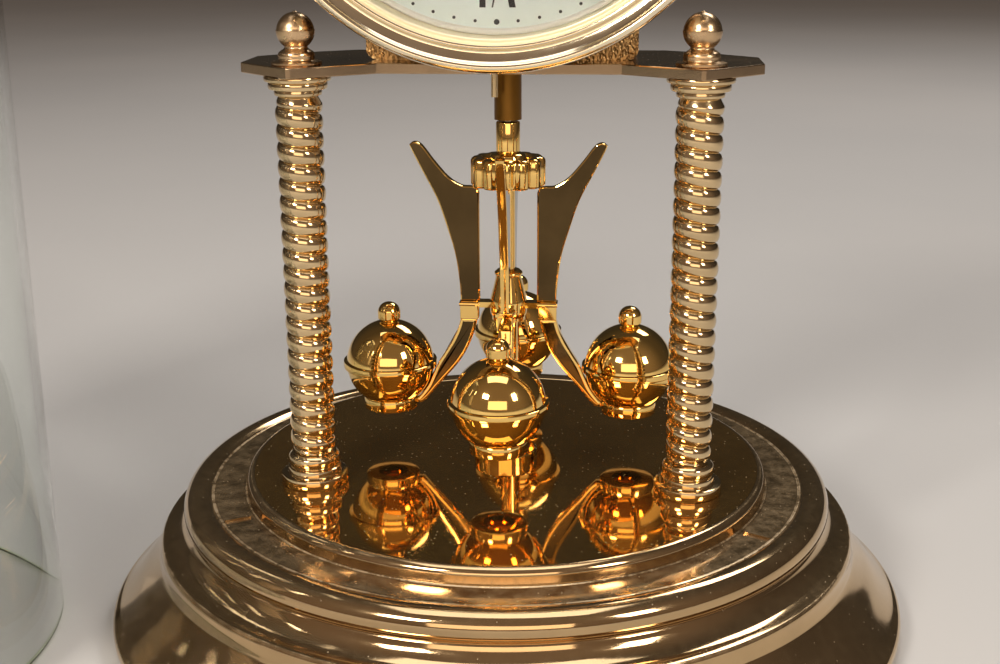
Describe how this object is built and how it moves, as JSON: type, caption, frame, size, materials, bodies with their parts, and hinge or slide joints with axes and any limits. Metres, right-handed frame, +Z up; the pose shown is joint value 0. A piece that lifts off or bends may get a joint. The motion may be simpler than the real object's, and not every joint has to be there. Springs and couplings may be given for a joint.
{
  "type": "anniversary clock",
  "caption": "Anniversary clock with a stepped round base, twisted columns, round dial, four-ball torsion pendulum and a glass dome set beside it.",
  "frame": {"origin": "on the table at the centre of the clock's base", "axes": "+Z up, dial faces -Y, the dome stands towards -X"},
  "size_m": [0.3489, 0.2111, 0.2488],
  "materials": {
    "aged_brass": "polished lacquered brass, dusty",
    "black_plastic": "moulded, matt",
    "felt": "pressed felt",
    "steel": "plain",
    "gilt": "bright gilt plating",
    "column_brass": "polished brass",
    "plate_brass": "polished brass",
    "finial_brass": "satin brass",
    "hammered_gold": "gold lacquer with a hammered grain",
    "board": "circuit board",
    "copper": "enamelled copper winding",
    "cell": "plain cell",
    "gear_plastic": "acetal",
    "hand_black": "black lacquer",
    "dial_cream": "cream satin with printed numerals",
    "dial_rim": "satin",
    "bezel_brass": "polished brass",
    "tube_brass": "dull brass",
    "clear_glass": "clear",
    "dome_glass": "clear"
  },
  "bodies": {
    "clock": {"base_shell": "aged_brass", "base_filler": "black_plastic", "base_felt": "felt", "deck_plate": "aged_brass", "dome_ribs": "aged_brass", "deck_bolt": "steel", "deck_cap": "gilt", "column_feet": "column_brass", "column_left": "column_brass", "column_right": "column_brass", "column_capitals": "column_brass", "tie_rods": "steel", "tie_nuts": "steel", "top_plate": "plate_brass", "finials": "finial_brass", "movement_case": "hammered_gold", "movement_cover": "black_plastic", "movement_spacer": "black_plastic", "circuit_board": "board", "drive_coil": "copper", "battery": "cell", "battery_springs": "steel", "dial_pan": "plate_brass", "dial": "dial_cream", "dial_ring": "dial_rim", "bezel": "bezel_brass", "dial_glass": "clear_glass", "suspension_tube": "tube_brass"},
    "dome": {"glass_dome": "dome_glass"},
    "minute": {"minute_wheel": "gear_plastic", "minute_hand": "hand_black", "hand_nut": "column_brass"},
    "hour": {"hour_wheel": "gear_plastic", "hour_hand": "hand_black"},
    "knob": {"knob_pinion": "gear_plastic", "set_knob": "black_plastic"},
    "door": {"battery_door": "black_plastic"},
    "lever": {"lock_lever": "column_brass"},
    "pendulum": {"pendulum_neck": "gilt", "pendulum_hub": "gilt", "pendulum_fins": "gilt", "pendulum_rod": "gilt", "pendulum_spindle": "gilt", "pendulum_bell": "gilt", "pendulum_disc": "gilt", "pendulum_cross": "gilt", "pendulum_arms": "gilt", "ball_feet": "gilt", "ball_lower": "gilt", "ball_upper": "gilt", "ball_bands": "gilt", "ball_knobs": "gilt", "suspension_strip": "steel", "drive_magnet": "steel"}
  },
  "joints": [
    {"name": "dome_lift", "type": "slide", "parent": "clock", "child": "dome", "axis": [0, 0, 1], "range_m": [0, 0.28]},
    {"name": "minute_turn", "type": "hinge", "parent": "clock", "child": "minute", "pos_m": [0, 0, 0.19285], "axis": [0, 1, 0], "continuous": true},
    {"name": "hour_turn", "type": "hinge", "parent": "clock", "child": "hour", "pos_m": [0, 0, 0.19285], "axis": [0, 1, 0], "continuous": true},
    {"name": "knob_turn", "type": "hinge", "parent": "clock", "child": "knob", "pos_m": [0.018, 0, 0.19285], "axis": [0, 1, 0], "continuous": true},
    {"name": "door_swing", "type": "hinge", "parent": "clock", "child": "door", "pos_m": [0, 0.0191, 0.1413], "axis": [-1, 0, 0], "range_deg": [0, 90]},
    {"name": "lever_turn", "type": "hinge", "parent": "clock", "child": "lever", "pos_m": [0, 0.0108, 0.1342], "axis": [0, 0, 1], "range_deg": [-50, 80]},
    {"name": "pendulum_turn", "type": "hinge", "parent": "clock", "child": "pendulum", "pos_m": [0, 0.0108, 0.12], "axis": [0, 0, 1], "range_deg": [-150, 150], "stiffness_Nm_per_rad": 0.00004}
  ],
  "couplings": [
    {"joint": "hour_turn", "follows": "minute_turn", "ratio": 0.083333},
    {"joint": "knob_turn", "follows": "minute_turn", "ratio": -1}
  ]
}
